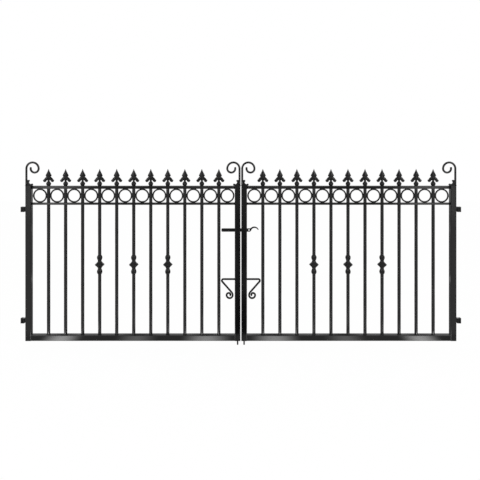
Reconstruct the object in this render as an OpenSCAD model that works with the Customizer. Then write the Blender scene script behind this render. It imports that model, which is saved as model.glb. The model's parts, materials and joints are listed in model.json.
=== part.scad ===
// Double driveway gate of black painted steel: two leaves with round bars, a row of rings,
// spearheads and scrolls, hung on weld-on hinges, with a slide latch and two drop bolts.
// X runs along the gate, Y into the drive and Z up. The origin lies on the fixing face
// of the left lower hinge bracket.

/* [Gate] */
// Width between the two faces that the hinge brackets are welded to
opening_w = 3100; // [2500:10:3700]
// Height of the stiles
leaf_h = 1090; // [950:10:1400]
// Gap between the two meeting stiles
meeting_gap = 6; // [6:0.5:12]
// Gap between a hinge stile and the face that its brackets are welded to
hinge_gap = 36; // [36:1:50]

/* [Frame] */
// Side of the square tube of the stiles and bottom rail
tube_w = 40; // [36:1:42]
// Wall of the square tube
tube_wall = 3; // [2:0.5:4]
// Outer corner radius of the square tube
tube_r = 4; // [2:0.5:6]
// Height of the plug in the foot of a stile
plug_h = 8; // [5:1:15]
// Thickness of the top rail
top_rail_t = 18; // [10:1:20]
// Thickness of the ring rail
ring_rail_t = 13; // [8:1:16]
// Depth of the two flat rails
rail_d = 30; // [26:1:34]
// Drop from the tops of the stiles to the top of the top rail
top_drop = 4; // [0:1:10]

/* [Infill] */
// Diameter of the bars
bar_d = 21; // [16:1:22]
// Number of bars in a leaf
bar_n = 11; // [8:1:14]
// Gap between the hinge stile and the ring beside it
hinge_end_gap = 8; // [2:0.5:12]
// Gap between the meeting stile and the ring beside it
meeting_end_gap = 2.5; // [2:0.5:12]
// Diameter of the round wire of the rings
ring_wire = 9; // [6:0.5:12]
// Height of the middle of the collars above the foot of the gate
collar_z = 532; // [300:1:700]
// Diameter of the disc of a collar
collar_disc_d = 64; // [50:1:76]
// Diameter of the beads of a collar
collar_bead_d = 36; // [30:1:44]
// Diameter of the necks of a collar
collar_neck_d = 26; // [25:0.5:29]
// Distance from the disc of a collar to a neck
collar_neck_z = 28; // [24:1:32]
// Distance from the disc of a collar to the middle of a bead
collar_bead_z = 50; // [46:1:60]
// Half height of a bead
collar_bead_h = 17; // [14:1:19]

/* [Spearheads] */
// Height of a spearhead above the top rail
spear_h = 120; // [100:1:140]
// Width of the blade
blade_w = 39; // [30:1:50]
// Thickness of the blade at its mid rib
blade_t = 14; // [10:1:20]
// Height of the widest part of the blade above the rail
blade_z = 75; // [70:1:82]
// Span of the two drooping leaves
leaf_span = 74; // [60:1:84]
// Thickness of the drooping leaves
leaf_t = 8; // [6:0.5:11]
// Drop of the leaves from their roots to their lowest points
leaf_drop = 31; // [26:1:36]
// Diameter of the bud at the foot
bud_d = 30; // [24:1:36]
// Height of the widest part of the bud above the rail
bud_z = 17; // [13:1:20]
// Diameter of the stem
stem_d = 12; // [10:0.5:14]

/* [Scrolls] */
// Diameter of the scroll bar
scroll_d = 13; // [10:0.5:14]
// Height of the straight part of a scroll above the stile
scroll_rise = 120; // [60:1:180]
// Radius of the outer bend of a scroll
scroll_big_r = 43; // [36:1:50]
// Radius of the inner bend of a scroll
scroll_small_r = 28; // [20:1:32]
// Setback of a scroll from the faces of its stile
scroll_setback = 0; // [0:0.5:3]
// Height of the cove bracket at the foot of a scroll
cove_h = 40; // [30:1:60]
// Thickness of the cove bracket's two legs
cove_t = 8; // [6:0.5:12]
// Radius of the hollow of the cove bracket
cove_r = 14; // [8:1:18]
// Reach of the cove bracket from the outer face of the stile
cove_reach = 52; // [46:1:60]

/* [Hinges] */
// Height of the lower hinge above the foot of the gate
lower_hinge_z = 138; // [100:1:250]
// Drop from the tops of the stiles to the upper hinge
upper_hinge_drop = 168; // [160:1:400]
// Distance of the hinge axis from the fixing face
hinge_axis = 21; // [21:0.5:21.5]
// Diameter of the hinge pin
hinge_pin_d = 12; // [8:0.5:12]
// Height of a hinge bracket
bracket_h = 36; // [32:1:50]
// Depth of a hinge bracket
bracket_d = 20; // [18:0.5:20]
// Height of the hinge eye
eye_h = 18; // [14:0.5:20]
// Chamfer at the nose of a bracket's lugs
lug_chamfer = 6; // [2:0.5:7]

/* [Drop bolts] */
// Diameter of the bolt rod
bolt_d = 12; // [10:0.5:13]
// How far the bolt reaches below the foot of the gate
bolt_drop = 46; // [44:1:70]
// Diameter of the bolt's turned tip
bolt_tip_d = 11; // [8:0.5:11.5]
// Length of the bolt's turned tip
bolt_tip = 40; // [25:1:44]
// Height of the handle's arm above the foot of the gate
bolt_arm_z = 420; // [340:1:500]
// Length of the handle's arm from the rod to its far end
bolt_arm = 112; // [95:1:130]
// Length of the sloping part of the handle
bolt_slope = 100; // [80:1:110]
// Radius of the handle's curl
bolt_curl_r = 21.5; // [18:0.5:24]
// Height of a bolt guide
guide_h = 24; // [16:1:32]
// Height of the lower bolt guide above the foot of the gate
lower_guide_z = 60; // [46:1:100]

/* [Latch] */
// Height of the latch above the foot of the gate
latch_z = 770; // [640:1:840]
// Height of the latch bar
latch_h = 24; // [18:1:26]
// Thickness of the latch bar
latch_t = 6; // [5:0.5:8]
// Reach of the latch bar past the middle of the gate
latch_reach = 138; // [100:1:150]
// Length of the latch bar on the side of its own leaf
latch_tail_x = 68; // [66:1:80]
// Diameter of the padlock hole
lock_hole_d = 10; // [6:0.5:12]
// Radius of the curved handle
handle_r = 30; // [26:0.5:34]
// Thickness of the handle at its tip
handle_tip = 5; // [4:0.5:8]
// Radius of the corners at the far end of the latch bar
latch_end_r = 5; // [2:0.5:8]
// Width of the latch guide and keep along the bar
staple_w = 30; // [20:1:32]
// Wall of the latch guide and keep
staple_wall = 5; // [4:0.5:6]

/* [Fits] */
// Gap between welded or seated pieces
fit = 0.15; // [0.05:0.05:0.25]
// Radial gap between a hinge pin and its eye
pin_fit = 0.1; // [0.05:0.01:0.15]
// Gap between a sliding bar and its guide
slide_fit = 0.3; // [0.3:0.05:0.5]
// Gap between the back of a stile and what slides behind it
stand_off = 5; // [5:0.5:8]

/* [Hidden] */
$fn = 64;
paint = [0.07, 0.07, 0.075];
bare_steel = [0.6, 0.6, 0.62];
plastic = [0.03, 0.03, 0.03];
eps = 1;
leaf_w = (opening_w - meeting_gap) / 2 - hinge_gap;
inner_w = leaf_w - 2 * tube_w;
rail_x = hinge_gap + tube_w;
bar_pitch = (inner_w + bar_d - hinge_end_gap - meeting_end_gap) / (bar_n + 1);
bar_x0 = rail_x + hinge_end_gap + bar_pitch - bar_d / 2;
ring_od = bar_pitch - bar_d - 2 * fit;
mid_bar = floor((bar_n - 1) / 2);
collar_skip = 2;
top_rail_z = leaf_h - top_drop - top_rail_t;
ring_z = top_rail_z - fit - ring_od / 2;
ring_rail_z = ring_z - ring_od / 2 - fit - ring_rail_t;
meeting_x = hinge_gap + leaf_w - tube_w;
mid_x = opening_w / 2;
back_y = tube_w / 2;
// Turned collars: lip at the ends, steps and steepness of the flanks, sweep of the beads in degrees
collar_lip = 1;
flank_steps = 8;
flank_power = 1.5;
bead_from = 20;
bead_to = 165;
bead_steps = 10;
// Spearheads: sweep of the bud's outline in degrees, its rise to the stem and the blade's foot
bud_foot_angle = 63;
bud_top_angle = 87;
bud_steps = 15;
bud_rise = bud_d / 2;
bud_fall = bud_z / sin(bud_foot_angle);
blade_foot = 13;
blade_neck = 0.45;
blade_sink = 5;
// Outline of a drooping leaf, as shares of its reach and of its drop, two points to a curve
leaf_steps = 4;
leaf_outline = [
    [0, 0.1], [0.65, 0], [0.78, -0.45], [0.8, -0.66], [1, -0.71], [0.95, -0.89],
    [0.81, -0.97], [0.6, -1.1], [0.51, -0.9], [0.46, -0.52], [0, -0.42]
];
// Scrolls and cove brackets
scroll_y = -tube_w / 2 + scroll_setback + scroll_d / 2;
scroll_turn = 180;
cove_bead_r = cove_t * 0.6;
// Hinges: room behind the eye and width of the eye's neck
eye_room = 2;
eye_neck = bracket_d * 0.7;
upper_hinge_z = leaf_h - upper_hinge_drop;
// Drop bolts: angles in degrees, with a small lap that joins each bend to the next
bolt_lean = 41.2194;
bolt_lap = 0.002;
bolt_curl_turn = 180;
bolt_end_turn = 105;
bolt_bend_r = bolt_d;
bolt_nose_r = 10.5;
bolt_lead_r = 1.5 * bolt_curl_r;
bolt_end_r = 0.75 * bolt_curl_r;
bolt_chamfer = 2;
bolt_y = back_y + stand_off + bolt_d / 2;
bolt_x = meeting_x + tube_w / 2;
bolt_top_z = bolt_arm_z - bolt_bend_r;
guide_wall = stand_off - slide_fit - 2 * fit;
bolt_guide_w = bolt_d + 2 * (slide_fit + guide_wall);
// Latch: sweep and dip of the handle in degrees
handle_from = 170;
handle_to = 30;
handle_step = 10;
handle_dip = 20;
corner_steps = 6;
quarter_angle = 90;
latch_y = back_y + stand_off;
lock_x = latch_tail_x - lock_hole_d;
staple_d = stand_off + latch_t + slide_fit + staple_wall;
staple_h = latch_h + 2 * slide_fit + 2 * staple_wall;

// Heights below are taken from the foot of the gate, and this lowers them to the origin
module placed(tint = paint) {
    color(tint) translate([0, 0, -lower_hinge_z]) children();
}

// The right leaf is the left one seen in a mirror at the middle of the gate
module on_right() {
    translate([opening_w, 0, 0]) mirror([1, 0, 0]) children();
}

// A leaf's second upright end, mirrored about the middle of the leaf
module at_meeting_end() {
    translate([2 * hinge_gap + leaf_w, 0, 0]) mirror([1, 0, 0]) children();
}

module at_each_bar() {
    for (i = [0 : bar_n - 1]) translate([bar_x0 + i * bar_pitch, 0, 0]) children();
}

module rounded_square(side, r) {
    straight = side / 2 - r;
    square([side, 2 * straight], center = true);
    square([2 * straight, side], center = true);
    for (x = [-straight, straight], y = [-straight, straight]) translate([x, y]) circle(r);
}

module tube_profile() {
    difference() {
        rounded_square(tube_w, tube_r);
        square(tube_w - 2 * tube_wall, center = true);
    }
}

// Stiles: square tube, closed at the top by a welded plate
module stile() {
    translate([hinge_gap + tube_w / 2, 0, 0]) {
        linear_extrude(leaf_h - tube_wall) tube_profile();
        translate([0, 0, leaf_h - tube_wall]) linear_extrude(tube_wall) rounded_square(tube_w, tube_r);
    }
}

module stile_plug() {
    side = tube_w - 2 * tube_wall - 2 * fit;
    translate([hinge_gap + tube_w / 2 - side / 2, -side / 2, 0]) cube([side, side, plug_h]);
}

module stile_plugs() {
    stile_plug();
    at_meeting_end() stile_plug();
}

module bottom_rail() {
    translate([rail_x + fit, 0, tube_w / 2]) rotate([90, 0, 90])
        linear_extrude(inner_w - 2 * fit) tube_profile();
}

module flat_rail(z, t) {
    translate([rail_x + fit, -rail_d / 2, z]) cube([inner_w - 2 * fit, rail_d, t]);
}

module top_rail() {
    flat_rail(top_rail_z, top_rail_t);
}

// The bars pass through drilled holes in the ring rail
module ring_rail() {
    difference() {
        flat_rail(ring_rail_z, ring_rail_t);
        at_each_bar() translate([0, 0, ring_rail_z - eps])
            cylinder(h = ring_rail_t + 2 * eps, d = bar_d + 2 * fit);
    }
}

module bars() {
    foot = tube_w + fit;
    at_each_bar() translate([0, 0, foot]) cylinder(h = top_rail_z - fit - foot, d = bar_d);
}

module rings() {
    first = bar_x0 - bar_pitch / 2;
    for (i = [0 : bar_n]) translate([first + i * bar_pitch, 0, ring_z]) rotate([90, 0, 0])
        rotate_extrude() translate([(ring_od - ring_wire) / 2, 0]) circle(d = ring_wire);
}

// Half of a collar's outline: one flank of the sharp disc, then a bead
function collar_flank() = [
    for (i = [0 : flank_steps])
        let (t = i / flank_steps)
            [
                collar_neck_d / 2 + (collar_disc_d - collar_neck_d) / 2 * pow(1 - t, flank_power),
                collar_neck_z * t
            ]
];
function collar_bead() = [
    for (i = [0 : bead_steps])
        let (a = bead_from + (bead_to - bead_from) * i / bead_steps, foot_r = bar_d / 2 + collar_lip)
            [foot_r + (collar_bead_d / 2 - foot_r) * sin(a), collar_bead_z - collar_bead_h * cos(a)]
];

module collar_half() {
    bore = bar_d / 2 + fit;
    rotate_extrude() polygon(concat(
        [[bore, 0]],
        collar_flank(),
        collar_bead(),
        [[bore, collar_bead_z + collar_bead_h]]
    ));
}

module collar() {
    collar_half();
    mirror([0, 0, 1]) collar_half();
}

module collars() {
    for (i = [mid_bar - collar_skip : collar_skip : mid_bar + collar_skip])
        translate([bar_x0 + i * bar_pitch, 0, collar_z]) collar();
}

// Spearheads: a bud and stem turned on the lathe, two drooping leaves and a ribbed blade
function bud_outline() = [
    for (i = [0 : bud_steps])
        let (a = -bud_foot_angle + (bud_top_angle + bud_foot_angle) * i / bud_steps)
            [
                bud_d / 2 * cos(a) + (a > 0 ? stem_d / 2 * (1 - cos(a)) : 0),
                bud_z + (a > 0 ? bud_rise : bud_fall) * sin(a)
            ]
];

module bud_and_stem() {
    stem_top = blade_z - blade_sink;
    rotate_extrude() polygon(concat(
        [[0, 0]],
        bud_outline(),
        [[stem_d / 2, stem_top], [0, stem_top]]
    ));
}

// Points on the curve that leaves a towards b and comes to c from b
function bow(a, b, c) = [
    for (i = [1 : leaf_steps])
        let (t = i / leaf_steps)
            (1 - t) * (1 - t) * a + 2 * t * (1 - t) * b + t * t * c
];

module drooping_leaf() {
    points = [for (p = leaf_outline) [p[0] * leaf_span / 2, blade_z - blade_foot + p[1] * leaf_drop]];
    translate([0, leaf_t / 2, 0]) rotate([90, 0, 0]) linear_extrude(leaf_t) polygon([
        points[0],
        for (i = [0 : 2 : len(points) - 3]) each bow(points[i], points[i + 1], points[i + 2])
    ]);
}

module blade() {
    half_w = blade_w / 2;
    half_t = blade_t / 2;
    foot_z = blade_z - blade_foot;
    foot_w = half_w * blade_neck;
    foot_t = half_t * blade_neck;
    points = [
        [0, 0, spear_h],
        [half_w, 0, blade_z], [0, half_t, blade_z], [-half_w, 0, blade_z], [0, -half_t, blade_z],
        [foot_w, 0, foot_z], [0, foot_t, foot_z], [-foot_w, 0, foot_z], [0, -foot_t, foot_z]
    ];
    faces = [
        for (i = [1 : 4]) [0, i % 4 + 1, i],
        for (i = [1 : 4]) [i, i % 4 + 1, i + 4],
        for (i = [1 : 4]) [i % 4 + 1, i % 4 + 5, i + 4],
        [5, 6, 7, 8]
    ];
    polyhedron(points, faces);
}

module spearhead() {
    bud_and_stem();
    drooping_leaf();
    mirror([1, 0, 0]) drooping_leaf();
    blade();
}

module spearheads() {
    at_each_bar() translate([0, 0, leaf_h - top_drop + fit]) spearhead();
}

// A bent round bar: each step is a straight length, then a bend of some radius and angle.
// It starts along Z, and a positive angle bends it towards X. A lap, in degrees, runs each
// bend into the next step.
module bent_bar(d, steps, lap = 0, i = 0) {
    if (i < len(steps)) {
        run = steps[i][0];
        r = steps[i][1];
        angle = steps[i][2];
        if (run > 0) cylinder(h = run, d = d);
        translate([0, 0, run]) {
            rotate([0, 0, angle > 0 ? 0 : 180]) bend(d, r, abs(angle) + lap);
            translate([sign(angle) * r, 0, 0]) rotate([0, angle, 0])
                translate([-sign(angle) * r, 0, 0]) bent_bar(d, steps, lap, i + 1);
        }
    }
}

module bend(d, r, angle) {
    translate([r, 0, 0]) rotate([90, 0, 180])
        rotate_extrude(angle = angle) translate([r, 0]) circle(d = d);
}

// Scrolls: a round bar that rises from the stile and curls towards the middle of its leaf
module scroll() {
    x = hinge_gap + scroll_setback + scroll_d / 2;
    translate([x, scroll_y, leaf_h + fit])
        bent_bar(scroll_d, [[scroll_rise, scroll_big_r, scroll_turn], [0, scroll_small_r, scroll_turn]]);
}

// Cove brackets: a concave corner piece with a bead at each end, at the foot of a scroll
module cove() {
    x = scroll_setback + scroll_d + fit;
    reach = cove_reach - x;
    translate([hinge_gap + x, scroll_y + scroll_d / 2, leaf_h + fit]) rotate([90, 0, 0])
        linear_extrude(scroll_d) {
            difference() {
                square([reach, cove_h]);
                translate([cove_t + cove_r, cove_t + cove_r]) circle(cove_r);
                translate([cove_t + cove_r, cove_t]) square([reach, cove_h]);
                translate([cove_t, cove_t + cove_r]) square([reach, cove_h]);
            }
            translate([reach - cove_bead_r, cove_t]) circle(cove_bead_r);
            intersection() {
                translate([cove_t, cove_h - cove_bead_r]) circle(cove_bead_r);
                square([reach, cove_h]);
            }
        }
}

module coves() {
    cove();
    at_meeting_end() cove();
}

// Hinges: a weld-on bracket with two lugs, a pin through them and an eye on the stile
module bracket_outline() {
    translate([0, -bracket_d / 2]) square([hinge_axis, bracket_d]);
    translate([hinge_axis, 0]) circle(d = bracket_d);
}

module bracket(z) {
    nose = hinge_axis + bracket_d / 2;
    half = bracket_h / 2;
    slot_h = eye_h + 2 * slide_fit;
    slot_x = hinge_axis - bracket_d / 2 - eye_room;
    translate([0, 0, z]) difference() {
        intersection() {
            translate([0, 0, -half]) linear_extrude(bracket_h) bracket_outline();
            translate([0, bracket_d, 0]) rotate([90, 0, 0]) linear_extrude(2 * bracket_d) polygon([
                [0, -half], [nose - lug_chamfer, -half], [nose, -half + lug_chamfer],
                [nose, half - lug_chamfer], [nose - lug_chamfer, half], [0, half]
            ]);
        }
        translate([slot_x, -bracket_d, -slot_h / 2]) cube([2 * bracket_d, 2 * bracket_d, slot_h]);
        translate([hinge_axis, 0, -half - eps]) cylinder(h = bracket_h + 2 * eps, d = hinge_pin_d + fit);
    }
}

module pin(z) {
    translate([hinge_axis, 0, z - bracket_h / 2]) cylinder(h = bracket_h, d = hinge_pin_d);
}

module pins() {
    pin(lower_hinge_z);
    pin(upper_hinge_z);
}

module hinge_eye(z) {
    translate([hinge_axis, 0, z - eye_h / 2]) difference() {
        union() {
            cylinder(h = eye_h, d = bracket_d);
            translate([0, -eye_neck / 2, 0]) cube([hinge_gap - hinge_axis - fit, eye_neck, eye_h]);
        }
        translate([0, 0, -eps]) cylinder(h = eye_h + 2 * eps, r = hinge_pin_d / 2 + pin_fit);
    }
}

module hinge_eyes() {
    hinge_eye(lower_hinge_z);
    hinge_eye(upper_hinge_z);
}

// Drop bolts: a rod with a turned tip, bent into an arm, a sloping return and a curl
module bolt_tip() {
    tip_r = bolt_tip_d / 2;
    rotate_extrude() polygon([
        [0, 0], [tip_r - bolt_chamfer, 0], [tip_r, bolt_chamfer],
        [tip_r, bolt_tip - bolt_chamfer], [bolt_d / 2, bolt_tip], [0, bolt_tip]
    ]);
}

module drop_bolt(x, turn) {
    rod_run = bolt_top_z + bolt_drop - bolt_tip;
    arm_run = bolt_arm - bolt_bend_r - bolt_nose_r;
    translate([x, bolt_y, -bolt_drop]) rotate([0, 0, turn]) {
        bolt_tip();
        translate([0, 0, bolt_tip]) bent_bar(bolt_d, [
            [rod_run, bolt_bend_r, 90],
            [arm_run, bolt_nose_r, 90 + bolt_lean],
            [bolt_slope, bolt_lead_r, -bolt_lean],
            [0, bolt_curl_r, -bolt_curl_turn],
            [0, bolt_end_r, -bolt_end_turn]
        ], bolt_lap);
    }
}

module bolt_guide(z) {
    translate([bolt_x, 0, z]) difference() {
        union() {
            translate([-bolt_guide_w / 2, back_y + fit, 0])
                cube([bolt_guide_w, bolt_y - back_y - fit, guide_h]);
            translate([0, bolt_y, 0]) cylinder(h = guide_h, d = bolt_guide_w);
        }
        translate([0, bolt_y, -eps]) cylinder(h = guide_h + 2 * eps, r = bolt_d / 2 + slide_fit);
    }
}

module bolt_guides() {
    bolt_guide(lower_guide_z);
    bolt_guide(bolt_top_z - slide_fit - guide_h);
}

// Latch: a flat bar that slides in a guide on the right leaf and a keep on the left leaf
module staple() {
    translate([meeting_x + (tube_w - staple_w) / 2, back_y + fit, latch_z]) difference() {
        translate([0, 0, -staple_h / 2]) cube([staple_w, staple_d - fit, staple_h]);
        translate([-eps, stand_off - slide_fit - fit, -latch_h / 2 - slide_fit])
            cube([staple_w + 2 * eps, latch_t + 2 * slide_fit, latch_h + 2 * slide_fit]);
    }
}

// Points on one edge of the curved handle, which thins from the bar to its tip
function handle_edge(side) = [
    for (a = [handle_from : -handle_step : handle_to])
        let (left = (a - handle_to) / (handle_from - handle_to))
            (handle_r + side * (handle_tip + (latch_h / 2 - handle_tip) * left) / 2) * [cos(a), sin(a)]
];
function reversed(list) = [for (i = [len(list) - 1 : -1 : 0]) list[i]];

// Points on a rounded corner of the latch bar, a quarter turn from an angle
function corner(x, y, from) = [
    for (i = [0 : corner_steps])
        let (a = from + quarter_angle * i / corner_steps)
            [x, y] + latch_end_r * [cos(a), sin(a)]
];

module latch_outline() {
    x = latch_end_r - latch_reach;
    y = latch_h / 2 - latch_end_r;
    polygon(concat(
        corner(x, y, quarter_angle),
        corner(x, -y, 2 * quarter_angle),
        [[latch_tail_x, -latch_h / 2], [latch_tail_x, latch_h / 2]]
    ));
}

module latch_handle() {
    translate([latch_tail_x + handle_r * cos(handle_dip), -handle_r * sin(handle_dip)]) {
        polygon(concat(handle_edge(1), reversed(handle_edge(-1))));
        translate(handle_r * [cos(handle_to), sin(handle_to)]) circle(d = handle_tip);
    }
}

module latch() {
    translate([mid_x, latch_y + latch_t, latch_z]) rotate([90, 0, 0]) difference() {
        union() {
            linear_extrude(latch_t) latch_outline();
            linear_extrude(latch_t) latch_handle();
        }
        translate([lock_x, 0, -eps]) cylinder(h = latch_t + 2 * eps, d = lock_hole_d);
    }
}

// Nodes
module left_upper_bracket() { placed() bracket(upper_hinge_z); }
module left_lower_bracket() { placed() bracket(lower_hinge_z); }
module right_upper_bracket() { placed() on_right() bracket(upper_hinge_z); }
module right_lower_bracket() { placed() on_right() bracket(lower_hinge_z); }
module hinge_pins() {
    placed(bare_steel) pins();
    placed(bare_steel) on_right() pins();
}
module left_hinge_stile() { placed() stile(); }
module left_meeting_stile() { placed() at_meeting_end() stile(); }
module left_stile_plugs() { placed(plastic) stile_plugs(); }
module left_bottom_rail() { placed() bottom_rail(); }
module left_top_rail() { placed() top_rail(); }
module left_ring_rail() { placed() ring_rail(); }
module left_bars() { placed() bars(); }
module left_rings() { placed() rings(); }
module left_collars() { placed() collars(); }
module left_spearheads() { placed() spearheads(); }
module left_hinge_scroll() { placed() scroll(); }
module left_meeting_scroll() { placed() at_meeting_end() scroll(); }
module left_coves() { placed() coves(); }
module left_hinge_eyes() { placed() hinge_eyes(); }
module left_bolt_guides() { placed() bolt_guides(); }
module latch_keep() { placed() staple(); }
module right_hinge_stile() { placed() on_right() stile(); }
module right_meeting_stile() { placed() on_right() at_meeting_end() stile(); }
module right_stile_plugs() { placed(plastic) on_right() stile_plugs(); }
module right_bottom_rail() { placed() on_right() bottom_rail(); }
module right_top_rail() { placed() on_right() top_rail(); }
module right_ring_rail() { placed() on_right() ring_rail(); }
module right_bars() { placed() on_right() bars(); }
module right_rings() { placed() on_right() rings(); }
module right_collars() { placed() on_right() collars(); }
module right_spearheads() { placed() on_right() spearheads(); }
module right_hinge_scroll() { placed() on_right() scroll(); }
module right_meeting_scroll() { placed() on_right() at_meeting_end() scroll(); }
module right_coves() { placed() on_right() coves(); }
module right_hinge_eyes() { placed() on_right() hinge_eyes(); }
module right_bolt_guides() { placed() on_right() bolt_guides(); }
module latch_guide() { placed() on_right() staple(); }
module latch_bar() { placed() latch(); }
module left_drop_bolt() { placed() drop_bolt(bolt_x, 180); }
module right_drop_bolt() { placed() drop_bolt(opening_w - bolt_x, 0); }

left_upper_bracket();
left_lower_bracket();
right_upper_bracket();
right_lower_bracket();
hinge_pins();
left_hinge_stile();
left_meeting_stile();
left_stile_plugs();
left_bottom_rail();
left_top_rail();
left_ring_rail();
left_bars();
left_rings();
left_collars();
left_spearheads();
left_hinge_scroll();
left_meeting_scroll();
left_coves();
left_hinge_eyes();
left_bolt_guides();
latch_keep();
right_hinge_stile();
right_meeting_stile();
right_stile_plugs();
right_bottom_rail();
right_top_rail();
right_ring_rail();
right_bars();
right_rings();
right_collars();
right_spearheads();
right_hinge_scroll();
right_meeting_scroll();
right_coves();
right_hinge_eyes();
right_bolt_guides();
latch_guide();
latch_bar();
left_drop_bolt();
right_drop_bolt();
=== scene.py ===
import json
import math

import bmesh
import bpy
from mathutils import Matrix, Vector


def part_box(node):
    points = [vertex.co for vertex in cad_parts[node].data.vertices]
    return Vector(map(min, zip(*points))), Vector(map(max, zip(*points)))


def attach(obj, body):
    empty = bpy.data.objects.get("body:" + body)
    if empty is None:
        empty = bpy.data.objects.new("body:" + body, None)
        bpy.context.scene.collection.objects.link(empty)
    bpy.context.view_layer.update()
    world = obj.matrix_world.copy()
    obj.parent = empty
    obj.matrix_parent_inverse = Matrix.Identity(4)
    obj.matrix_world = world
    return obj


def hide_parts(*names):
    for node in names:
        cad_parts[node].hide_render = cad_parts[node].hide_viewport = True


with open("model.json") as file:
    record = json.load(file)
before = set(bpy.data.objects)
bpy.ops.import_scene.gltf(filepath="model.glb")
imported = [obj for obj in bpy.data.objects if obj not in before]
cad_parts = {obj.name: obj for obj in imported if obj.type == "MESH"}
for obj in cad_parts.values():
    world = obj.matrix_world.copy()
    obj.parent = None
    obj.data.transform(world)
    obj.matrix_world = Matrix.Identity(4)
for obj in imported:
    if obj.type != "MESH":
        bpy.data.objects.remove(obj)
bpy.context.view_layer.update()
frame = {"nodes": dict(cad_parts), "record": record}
nodes = frame["nodes"]
scene = bpy.context.scene
sides = ("left", "right")
mm = 0.001
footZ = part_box("left_hinge_stile")[0][2]  # foot of the gate
print("frame loaded:", len(nodes), "nodes, foot at", round(footZ, 4))

# camera: level, a little above the spearheads, straight in front of the middle of the gate
cameraSet = dict(
    x=1.55, y=-3.667, aboveFoot=1.5165,
    sensor=36.0, lens=38.98, shiftX=-0.0018, shiftY=-0.2396, far=100.0,
)


def makeCamera():
    s = cameraSet
    data = bpy.data.cameras.new("gateCamera")
    data.sensor_width = s["sensor"]
    data.lens = s["lens"]
    data.shift_x = s["shiftX"]
    data.shift_y = s["shiftY"]
    data.clip_end = s["far"]
    camera = bpy.data.objects.new("gateCamera", data)
    camera.location = (s["x"], s["y"], footZ + s["aboveFoot"])
    camera.rotation_euler = (math.pi / 2, 0.0, 0.0)
    scene.collection.objects.link(camera)
    scene.camera = camera


makeCamera()
print("camera set")


def grey(value):
    return (value, value, value, 1.0)


def plainRays(tree):
    # 1 for the rays that see the background as white, 0 for those that light the gate
    path = tree.nodes.new("ShaderNodeLightPath")
    mirrored = tree.nodes.new("ShaderNodeMath")
    seen = tree.nodes.new("ShaderNodeMath")
    mirrored.operation = "MAXIMUM"
    seen.operation = "MAXIMUM"
    tree.links.new(path.outputs["Is Glossy Ray"], mirrored.inputs[0])
    tree.links.new(path.outputs["Is Transmission Ray"], mirrored.inputs[1])
    tree.links.new(path.outputs["Is Camera Ray"], seen.inputs[0])
    tree.links.new(mirrored.outputs[0], seen.inputs[1])
    return seen.outputs[0]


# world: white behind the gate, dim behind the camera, placed by the share of the way along y
worldSet = dict(white=1.0, whiteAt=0.55, sides=0.55, sidesAt=0.2, behindCamera=0.12)


def makeWorld():
    s = worldSet
    world = bpy.data.worlds.new("studio")
    scene.world = world
    world.use_nodes = True
    tree = world.node_tree
    tree.nodes.clear()
    out = tree.nodes.new("ShaderNodeOutputWorld")
    back = tree.nodes.new("ShaderNodeBackground")
    back.inputs["Color"].default_value = grey(1.0)
    coord = tree.nodes.new("ShaderNodeTexCoord")
    split = tree.nodes.new("ShaderNodeSeparateXYZ")
    ramp = tree.nodes.new("ShaderNodeValToRGB")
    mix = tree.nodes.new("ShaderNodeMix")
    toShare = tree.nodes.new("ShaderNodeMapRange")
    toShare.inputs["From Min"].default_value = -1.0
    tree.links.new(coord.outputs["Generated"], split.inputs[0])
    tree.links.new(split.outputs["Y"], toShare.inputs["Value"])
    tree.links.new(toShare.outputs[0], ramp.inputs["Fac"])
    stops = ramp.color_ramp.elements
    stops[0].position = 0.0
    stops[0].color = grey(s["behindCamera"])
    stops[1].position = s["whiteAt"]
    stops[1].color = grey(s["white"])
    stops.new(s["sidesAt"]).color = grey(s["sides"])
    tree.links.new(ramp.outputs["Color"], mix.inputs["A"])
    mix.inputs["B"].default_value = s["white"]
    tree.links.new(plainRays(tree), mix.inputs["Factor"])
    tree.links.new(mix.outputs["Result"], back.inputs["Strength"])
    tree.links.new(back.outputs[0], out.inputs[0])


makeWorld()

# floor: pale and plain, white to the camera but for the gate's shadow
floorSet = dict(size=14.0, drop=0.047, color=(0.9, 0.9, 0.9), glowShare=0.97)


def stageFace(name, corners):
    # a flat face, heights counted from the floor, with an empty material
    mesh = bpy.data.meshes.new(name)
    floorZ = footZ - floorSet["drop"]
    mesh.from_pydata([(x, y, floorZ + z) for x, y, z in corners], [], [(0, 1, 2, 3)])
    face = bpy.data.objects.new(name, mesh)
    scene.collection.objects.link(face)
    mat = bpy.data.materials.new(name)
    mat.use_nodes = True
    mat.node_tree.nodes.clear()
    mesh.materials.append(mat)
    return face, mat.node_tree


def makeFloor():
    h = floorSet["size"] / 2
    left, right = cameraSet["x"] - h, cameraSet["x"] + h
    corners = [(left, -h, 0.0), (right, -h, 0.0), (right, h, 0.0), (left, h, 0.0)]
    tree = stageFace("studioFloor", corners)[1]
    out = tree.nodes.new("ShaderNodeOutputMaterial")
    matt = tree.nodes.new("ShaderNodeBsdfDiffuse")
    glow = tree.nodes.new("ShaderNodeEmission")
    both = tree.nodes.new("ShaderNodeMixShader")
    share = tree.nodes.new("ShaderNodeMath")
    share.operation = "MULTIPLY"
    share.inputs[1].default_value = floorSet["glowShare"]
    matt.inputs["Color"].default_value = (*floorSet["color"], 1.0)
    tree.links.new(plainRays(tree), share.inputs[0])
    tree.links.new(share.outputs[0], both.inputs[0])
    tree.links.new(matt.outputs[0], both.inputs[1])
    tree.links.new(glow.outputs[0], both.inputs[2])
    tree.links.new(both.outputs[0], out.inputs[0])


makeFloor()

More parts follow.
